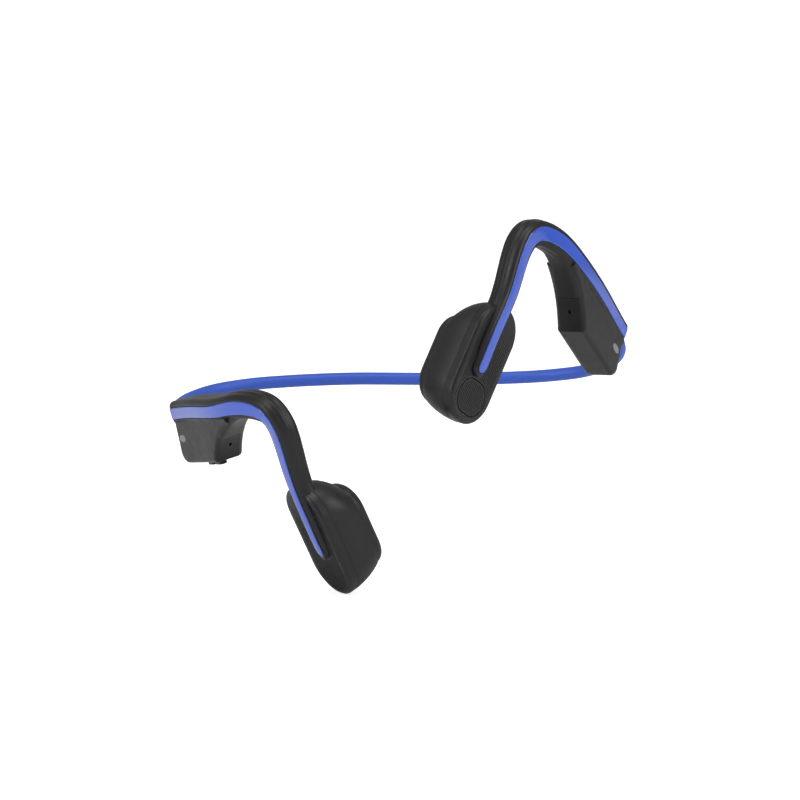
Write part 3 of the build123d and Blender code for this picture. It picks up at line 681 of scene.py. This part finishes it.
FLOOR_GAP = 0.0002
SKY_SEEN, SKY_LIGHT, FLOOR_GLOW = 1.0, 0.36, 0.72
floor_level = min(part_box(node)[0].z for node in nodes) - FLOOR_GAP
SWEEP_RADIUS, SWEEP_BACK, SWEEP_REACH = 1.5, 1.0, 6.0
bend = np.linspace(0, np.pi / 2, 24)
profile_y = np.concatenate([[-SWEEP_REACH], SWEEP_BACK + SWEEP_RADIUS * np.sin(bend)])
profile_z = np.concatenate([[0], SWEEP_RADIUS * (1 - np.cos(bend))])
profile_y = np.concatenate([profile_y, profile_y[-1:]])
profile_z = np.concatenate([profile_z, [SWEEP_REACH]]) + floor_level
sweep_points = np.stack([
    np.stack([np.full_like(profile_y, x), profile_y, profile_z], -1)
    for x in (-SWEEP_REACH, SWEEP_REACH)
])
rows = np.arange(len(profile_y) - 1)
width = len(profile_y)
mesh = bpy.data.meshes.new("floor")
mesh.from_pydata(
    sweep_points.reshape(-1, 3).tolist(), [],
    np.stack([rows, rows + width, rows + width + 1, rows + 1], -1).tolist(),
)
mesh.shade_smooth()
floor = bpy.data.objects.new("floor", mesh)
bpy.context.collection.objects.link(floor)
floor_finish = bpy.data.materials.new("floor_white")
floor_finish.use_nodes = True
floor_shader = floor_finish.node_tree.nodes["Principled BSDF"]
floor_shader.inputs["Base Color"].default_value = (0.9, 0.9, 0.9, 1)
floor_shader.inputs["Roughness"].default_value = 0.9
floor_shader.inputs["Emission Color"].default_value = (1, 1, 1, 1)
floor_rays = floor_finish.node_tree.nodes.new("ShaderNodeLightPath")
glow = floor_finish.node_tree.nodes.new("ShaderNodeMath")
glow.operation = "MULTIPLY"
glow.inputs[1].default_value = FLOOR_GLOW  # seen white, but not lighting the object from below
floor_finish.node_tree.links.new(floor_rays.outputs["Is Camera Ray"], glow.inputs[0])
floor_finish.node_tree.links.new(glow.outputs[0], floor_shader.inputs["Emission Strength"])
mesh.materials.append(floor_finish)

world = bpy.data.worlds.new("studio")
bpy.context.scene.world = world
world.use_nodes = True
sky = world.node_tree.nodes["Background"]
sky_rays = world.node_tree.nodes.new("ShaderNodeLightPath")
sky_level = world.node_tree.nodes.new("ShaderNodeMath")
sky_level.operation = "MULTIPLY_ADD"
sky_level.inputs[1].default_value = SKY_SEEN - SKY_LIGHT  # white where seen, dimmer as light
sky_level.inputs[2].default_value = SKY_LIGHT
sky.inputs["Color"].default_value = (1, 1, 1, 1)
world.node_tree.links.new(sky_rays.outputs["Is Camera Ray"], sky_level.inputs[0])
world.node_tree.links.new(sky_level.outputs[0], sky.inputs["Strength"])


def panel_light(name, place_, target, size, power):
    """A rectangular light that faces a target."""
    light = bpy.data.lights.new(name, "AREA")
    light.shape = "RECTANGLE"
    light.size, light.size_y = size
    light.energy = power
    thing = bpy.data.objects.new(name, light)
    thing.location = place_
    toward = Vector(target) - Vector(place_)
    thing.rotation_euler = toward.to_track_quat("-Z", "Y").to_euler()
    bpy.context.collection.objects.link(thing)


panel_light("overhead", (0.0, -0.3, 1.6), (0, -0.06, 0), (1.2, 0.7), 7.0)
panel_light("left_panel", (-0.8, -0.6, 0.45), (0, -0.06, 0), (0.16, 0.8), 3.5)
panel_light("right_panel", (0.8, -0.5, 0.55), (0, -0.06, 0), (0.16, 0.8), 3.5)

LOOK = np.array([0.0, -66.86, 6.33]) * MM
AZIMUTH, ELEVATION, ROLL = radians(-0.740), radians(9.831), radians(0.543)
DISTANCE = 730.2 * MM
LENS_LENGTH = 114.1357365
FRAME_SHIFT = -0.006
back = np.array([
    np.sin(AZIMUTH) * np.cos(ELEVATION), -np.cos(AZIMUTH) * np.cos(ELEVATION), np.sin(ELEVATION),
])
level_right = np.array([np.cos(AZIMUTH), np.sin(AZIMUTH), 0])
level_up = np.cross(back, level_right)
right = np.cos(ROLL) * level_right + np.sin(ROLL) * level_up
up = np.cos(ROLL) * level_up - np.sin(ROLL) * level_right
camera_data = bpy.data.cameras.new("camera")
camera_data.sensor_width = 36
camera_data.lens = LENS_LENGTH
camera_data.shift_y = FRAME_SHIFT
camera_data.clip_start, camera_data.clip_end = 0.05, 20
camera = bpy.data.objects.new("camera", camera_data)
matrix = np.eye(4)
matrix[:3, 0], matrix[:3, 1], matrix[:3, 2] = right, up, back
matrix[:3, 3] = LOOK + back * DISTANCE
camera.matrix_world = Matrix(matrix.tolist())
bpy.context.collection.objects.link(camera)
bpy.context.scene.camera = camera

scene = bpy.context.scene
scene.view_settings.view_transform = "Standard"
scene.view_settings.look = "None"
